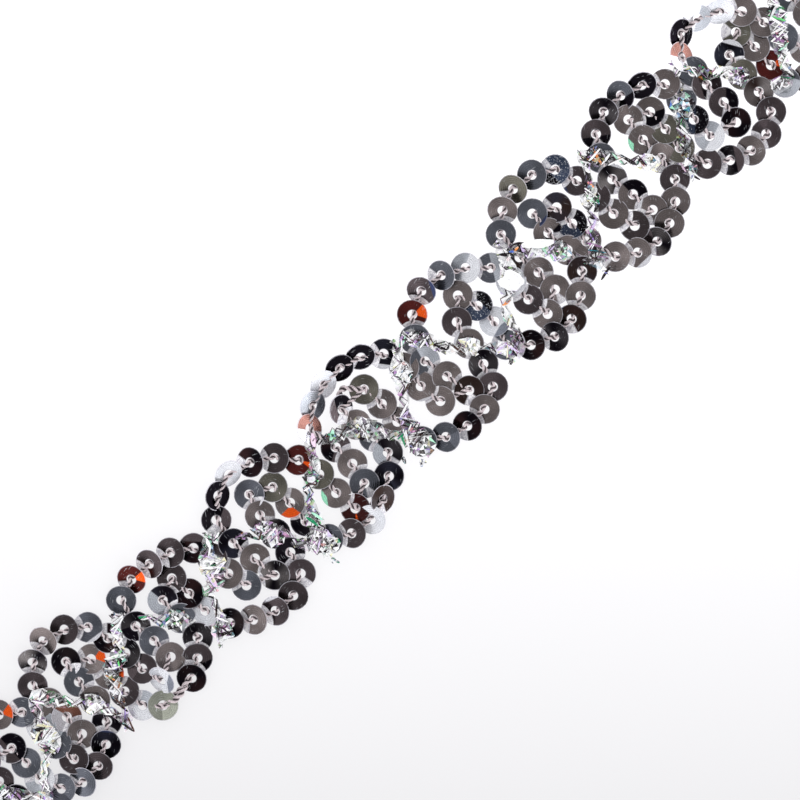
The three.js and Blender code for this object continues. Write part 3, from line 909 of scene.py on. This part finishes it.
# Single folds that stand out, the shade of their creases painted dark and the light and coloured ones painted
# glints: from, to, width and ink, which is black where none is named.
filmStrokes = [
    (-65.5, 3.5, -64.2, 2.5, 0.44), (-64.7, 2.5, -66.1, 2, 0.46), (-66.3, 0.8, -65.6, 0.1, 0.42),
    (-57.7, 2.4, -57.9, 1.4, 0.46), (-57.3, 1.5, -57, 0.5, 0.46), (-56.3, 0.7, -56.4, -0.1, 0.42),
    (-56.6, -4, -56.1, -6.2, 0.28), (-56.1, -6.2, -55.4, -4.2, 0.24, "brown"), (16.4, -4.2, 17, -6.2, 0.3),
    (17, -6.2, 17.9, -4.4, 0.24), (-27.2, 1.9, -26.4, 0.1, 0.34), (-26.4, 0.1, -25.4, 0.6, 0.28, "brown"),
    (8.4, 2, 9.1, 0.3, 0.34), (9.1, 0.3, 10.1, 0.7, 0.28), (43.8, 1.6, 44.4, -0.2, 0.34),
    (44.4, -0.2, 45.4, 0.2, 0.28), (-16.2, 1.3, -15.4, 0.5, 0.8, "pearl"), (-16.7, 0.9, -15.8, 1.9, 0.22),
    (-15.8, 1.9, -14.9, 0.9, 0.22), (-14.9, 0.9, -15.8, -0.1, 0.22),
    (-15.8, -0.1, -16.7, 0.9, 0.22, "brown"), (40.2, 5.3, 42.4, 5.3, 0.28),
    (40.2, 4.7, 42.4, 4.8, 0.28, "white"), (40.3, 4.1, 42.2, 4.1, 0.28), (30.2, -7.6, 32.4, -7.2, 0.34),
    (-10.3, 2.7, -9.1, 3.5, 0.5, "mint"), (-10, 3.6, -9.4, 2.6, 0.34, "leaf"),
    (-19.8, -2.2, -19.5, -4.1, 0.4, "leaf"), (-19.3, -2.1, -19.1, -4.1, 0.34, "smoke"),
    (-18.9, -2.3, -18.5, -4, 0.34, "mint"), (20.4, 0.4, 22.9, 1.2, 2.9, "white"),
    (25.9, 3, 29.4, 0.5, 1.1, "white"), (24.8, 3.2, 25.5, 3.3, 0.3, "orange"),
    (24.2, 3.7, 24.9, 2.9, 0.26, "blue"), (-53.6, -0.6, -53, -0.3, 0.28, "orange"),
    (51, -2.3, 51.7, -1.8, 0.3, "brown"), (-12.4, 3.6, -11.4, 5.2, 0.6, "pink"),
]
# Bits of the film that stick out past the edges: where, which way in degrees, and how long.
filmBits = [
    (-21.3, -8.4, 250, 1.3), (-3.7, -7.6, 265, 1.3), (-5.1, -5.6, 215, 1.1), (31.2, -6.9, 280, 1.2),
    (-56.2, -4.9, 240, 1.2), (14.4, -6.6, 230, 1.0), (48.7, -6.4, 260, 1.2), (-39.7, -5.9, 245, 1.0),
    (-11.9, 5.2, 80, 0.9), (23.7, 5.2, 70, 0.9), (5.0, 5.9, 110, 0.8), (40.0, 6.0, 95, 1.0),
    (-30.7, 5.3, 100, 1.0), (57.3, 5.8, 85, 0.9), (-47.5, 6.4, 75, 1.0), (77.6, -1.4, 320, 2.2),
    (-77.2, 4.0, 140, 2.0),
]


def filmLine(v):
    # the tape's middle line, finely drawn through the stations
    knots = [Vector(onTrim(x, y, v["under" if mood.islower() else "height"])) for x, y, _, mood in stations]
    fine = 8
    points = np.array(finePoints(knots, fine))
    points[:, 2] = points[:, 2].clip(v["under"], v["height"])
    return dict(points=points, at=np.arange(len(points)) / fine, run=runLengths(points),
                widths=[s[2] for s in stations], moods=[s[3].upper() for s in stations])


def alongLine(line, at):
    # middle, width and mood at each distance along the tape
    station = np.interp(at, line["run"], line["at"])
    widths = np.interp(station, np.arange(len(line["widths"])), line["widths"])
    return atRun(line["points"], line["run"], at), widths, [line["moods"][int(round(s))] for s in station]


def pickInk(mood, pick, dark=1.0):
    shares = {ink: share * (dark if ink in darkInks else 1.0) for ink, share in filmMoods[mood][0].items()}
    ink = pick.choices(list(shares), list(shares.values()))[0]
    bright = pick.uniform(0.85, 1.08)
    return ink, tuple(min(1.0, c * bright) for c in inks[ink])


def addRibbon(made, centre, sideways, half, tall, tones, edgeTones, border):
    # a strip two quads wide along the points: the film and a band along its one edge, each with its tones
    left, right = centre - sideways * half[:, None], centre + sideways * half[:, None]
    left[:, 2] -= tall
    right[:, 2] += tall
    inner = left + (right - left) * border
    faces, faceTones = [], []
    for i, pair in enumerate(zip(tones, edgeTones)):
        a = 3 * i
        faces += [(a, a + 1, a + 4, a + 3), (a + 1, a + 2, a + 5, a + 4)]
        faceTones += pair
    collect(made, np.stack([left, inner, right], axis=1), faces, faceTones)


def addSheet(made, line, v, pick, rng):
    # the clear tape, its rows slanted so that the creases run across it at an angle
    at = np.arange(0, line["run"][-1], v["sheetStep"])
    centre, width, moods = alongLine(line, at)
    forward, sideways, upward = frames(centre)
    n = v["sheetAcross"] + 1
    across = np.linspace(-1, 1, n)
    grid = centre[:, None] + sideways[:, None] * (0.5 * v["sheetShare"] * width[:, None] * across)[:, :, None]
    slant = v["slant"] * np.sin(at * v["slantTurn"])[:, None] * across * np.minimum(1, width / 3)[:, None]
    grid += forward[:, None] * slant[:, :, None]
    grid += rng.uniform(-1, 1, grid.shape) * np.minimum(1, width / 2)[:, None, None] * v["crumple"]
    grid[:, :, 2] = np.maximum(grid[:, :, 2], v["floor"])
    faces, tones = [], []
    for i in range(len(at) - 1):
        for k in range(n - 1):
            a = i * n + k
            b, c, d = a + 1, a + n + 1, a + n
            mood = moods[i]
            plain = mood == "W" and width[i] > 1.5 and 0 < k < n - 2
            held = ("white", inks["white"]) if plain else pickInk(mood, pick, v["sheetDark"])
            for half in ((a, b, c), (a, c, d)) if (i + k) % 2 else ((a, b, d), (b, c, d)):
                ink, colour = held if plain or pick.random() < 0.5 else pickInk(mood, pick, v["sheetDark"])
                cover = 1.0 if plain else min(1.0, filmMoods[mood][1] * pick.uniform(*v["sheetSpread"]))
                faces.append(half)
                tones.append((colour, cover))
    collect(made, grid, faces, tones)


def addStrand(made, line, number, v, pick):
    # one slit strand: it folds over at each edge of the tape, and is left out where the tape is too narrow
    at, side = pick.uniform(0, 1.5), pick.choice((-1, 1))
    folds = []
    while at < line["run"][-1]:
        spots, widths, moods = alongLine(line, np.array([at, at + 0.05]))
        if widths[0] >= v["nextWidth"] * number:
            across = leftOf(spots[1] - spots[0])
            across /= max(1e-6, np.linalg.norm(across))
            spot = spots[0] + across * side * 0.5 * widths[0] * pick.uniform(*v["reach"])
            spot[2] += pick.uniform(*v["lift"])
            folds.append((spot, moods[0]))
        else:
            finishStrand(made, folds, v, pick)
            folds = []
        at += pick.uniform(*v["swing"]) * (v["swingWidth"][0] - v["swingWidth"][1] * widths[0])
        side = -side
    finishStrand(made, folds, v, pick)


def finishStrand(made, folds, v, pick):
    if len(folds) < 2:
        return
    spots, half, tones, edgeTones = [], [], [], []
    for (spot, mood), (following, later) in zip(folds, folds[1:]):
        ink, colour = pickInk(mood, pick, v["strandDark"])
        wide = 0.5 * pick.uniform(*v["darkWide" if ink in darkInks else "strandWide"])
        cover = 1.0 if ink not in ("white", "pearl") else pick.choice((1.0, 1.0, 0.8))
        spots += [spot, 0.5 * (spot + following)]
        half += [0.75 * wide, wide]
        tones += [(colour, cover)] * 2
        # most strands get a dark band along one edge, painted shade as of the edge's shadow
        edged = pick.random() < v["borderShare"]
        edge = (inks[pick.choice(("black", "brown", "smoke", "plum"))], 1.0) if edged else (colour, cover)
        edgeTones += [edge] * 2
    centre = np.array([*spots, folds[-1][0]])
    tall = np.array([pick.uniform(-1, 1) * v["roll"] for spot in centre])
    addRibbon(made, centre, frames(centre)[1], np.array([*half, 0.1]), tall, tones, edgeTones,
              pick.uniform(*v["border"]))


def addRosettes(made, v, pick):
    # where the tape is spread wide it is crushed into a low cone of facets
    for x, y, width, mood in stations:
        if width < v["rosetteFrom"] or mood.islower():
            continue
        radius = 0.5 * width * v["rosetteShare"]
        top = onTrim(x, y, v["height"] + v["rosetteRise"])
        count = pick.choice((10, 11, 12))
        points = [top + (pick.uniform(-0.25, 0.25), pick.uniform(-0.25, 0.25), 0.0)]
        for share, shift, fall in v["rosetteRings"]:
            for k in range(count):
                angle = 2 * math.pi * (k + shift + pick.uniform(-0.3, 0.3)) / count
                reach = radius * share * pick.uniform(0.78, 1.1)
                points.append(top + (reach * math.cos(angle), reach * math.sin(angle),
                                     pick.uniform(-0.09, 0.09) - fall))
        faces = []
        for k in range(count):
            a, b = 1 + k, 1 + (k + 1) % count
            c, d, e, f = a + count, b + count, a + 2 * count, b + 2 * count
            faces += [(0, a, b), (a, c, b), (b, c, d), (c, e, f), (c, f, d)]
        tones = [(pickInk(mood, pick, v["rosetteDark"])[1], pick.choice(v["rosetteCover"])) for face in faces]
        collect(made, points, faces, tones)


def addStrokes(made, v, pick):
    part = np.linspace(0, 1, 7)
    fromMiddle = 2 * part - 1
    for x0, y0, x1, y1, width, *ink in filmStrokes:
        centre = onTrim(x0, y0) + part[:, None] * (onTrim(x1, y1) - onTrim(x0, y0))
        centre[:, 2] = v["strokeHeight"] - 0.2 * min(1.0, width) - 0.12 * fromMiddle ** 2
        sideways = frames(centre)[1]
        centre += sideways * (0.1 * width * np.sin(5 * part + x0))[:, None]
        half = 0.5 * width * (1 - 0.55 * fromMiddle ** 4) * (1 + 0.12 * np.sin(9 * part + y0))
        tall = np.full(len(part), pick.uniform(-0.3, 0.3) * min(0.4, width))
        tones = [(inks[ink[0] if ink else "black"], 1.0)] * 6
        addRibbon(made, centre, sideways, half, tall, tones, tones, 0.5)


def addBits(made, v, pick):
    for x, y, degrees, length in filmBits:
        for fan in range(3):
            turned = heading(degrees) + leftOf(heading(degrees)) * pick.uniform(-1, 1) * v["bitSpread"]
            turned /= np.linalg.norm(turned)
            steps = np.linspace(0, length * pick.uniform(0.6, 1.0), 4)
            centre = onTrim(x, y, v["bitHeight"]) + steps[:, None] * turned
            centre[:, 2] -= 0.15 * steps + 0.08 * np.sin(steps * 3)
            half = 0.5 * pick.uniform(*v["strandWide"]) * np.array([0.8, 1.0, 0.9, 0.4])
            tones = [(pickInk("S", pick, v["bitDark"])[1], 1.0) for step in steps[1:]]
            addRibbon(made, centre, frames(centre)[1], half, 0.1 * np.sin(steps * 4), tones, tones[::-1], 0.6)


filmLook = dict(
    streakScale=1500.0, streakFrom=(0.58, 0.64, 0.0, 0.3), streak=(0.9, 0.9, 0.93, 1), hue=0.14,
    cellScale=2000.0, lively=(0.75, 0.95, 1.0, 0.12), darkFrom=(0.8, 0.86, 0.0, 0.7),
    brightFrom=(0.86, 0.92, 0.0, 0.6), dark=(0.05, 0.045, 0.05, 1), saturation=0.55, value=0.75,
    coverFrom=(0.35, 0.6, 0.8, 1.15), bump=0.5, bumpDepth=0.00006,
)


def makeFilmMaterial(name, v):
    material, tree, shader = newMaterial(name)
    place = objectPlace(tree)
    wear = useGroup(tree, specksGroup, {"Place": place})
    streaks = noise(tree, place, v["streakScale"], Distortion=1.5)
    tone = attribute(tree, "filmTone", "Color")
    colour = mixColour(tree, rangeNode(tree, streaks, *v["streakFrom"]), tone, v["streak"])
    hue = addNode(tree, "TexNoise", {"Vector": place, "Scale": 900.0, "Detail": 1.0}).outputs["Color"]
    colour = mixColour(tree, v["hue"], colour, hue, "OVERLAY")
    # the colour is broken into far smaller cells, some painted dark as shade and reflected dark, and a few
    # painted a bright hue as glints
    cells = addNode(tree, "TexVoronoi", {"Vector": place, "Scale": v["cellScale"]}).outputs["Color"]
    facet = addNode(tree, "SeparateColor", {0: cells}).outputs
    lively = rangeNode(tree, addNode(tree, "SeparateColor", {0: tone}).outputs[1], *v["lively"])
    glint = {0: facet[2], 1: v["saturation"], 2: v["value"]}
    glint = addNode(tree, "CombineColor", glint, mode="HSV").outputs[0]
    dark = times(tree, lively, rangeNode(tree, facet[0], *v["darkFrom"]))
    bright = times(tree, lively, rangeNode(tree, facet[1], *v["brightFrom"]))
    colour = mixColour(tree, dark, colour, v["dark"])
    feed(shader, {
        "Base Color": mixColour(tree, bright, colour, glint),
        "Metallic": 0.12,
        "Specular IOR Level": 0.1,
        "Roughness": rangeNode(tree, wear["Haze"], 0.0, 1.0, 0.08, 0.24),
        "Alpha": times(tree, attribute(tree, "filmCover", "Fac"), rangeNode(tree, streaks, *v["coverFrom"])),
        "Normal": bumpNode(tree, v["bump"], v["bumpDepth"], streaks),
    })
    return material


def makeFilm(name, v):
    pick = random.Random(31)
    line = filmLine(v)
    made = newForms()
    addSheet(made, line, v, pick, np.random.default_rng(31))
    for number in range(v["strands"]):
        addStrand(made, line, number, v, pick)
    addRosettes(made, v, pick)
    addStrokes(made, v, pick)
    addBits(made, v, pick)
    piece = joinedPiece(name, made, makeFilmMaterial(name, filmLook))
    sizes = [len(face) for face in made["faces"]]
    colours = np.array([(*colour, 1.0) for colour, cover in made["tones"]])
    covers = np.array([cover for colour, cover in made["tones"]])
    setAttribute(piece.data, "filmTone", np.repeat(colours, sizes, axis=0), "CORNER")
    setAttribute(piece.data, "filmCover", np.repeat(covers, sizes), "CORNER")
    solidify = piece.modifiers.new("thickness", "SOLIDIFY")
    solidify.thickness = v["thick"] * mm
    solidify.offset = 0
    bpy.ops.object.modifier_apply(modifier="thickness")
    return piece


filmPiece = makeFilm("film_lacing", film)
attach(filmPiece, body)
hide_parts("film_tape")
print("film", len(filmPiece.data.polygons), "faces")
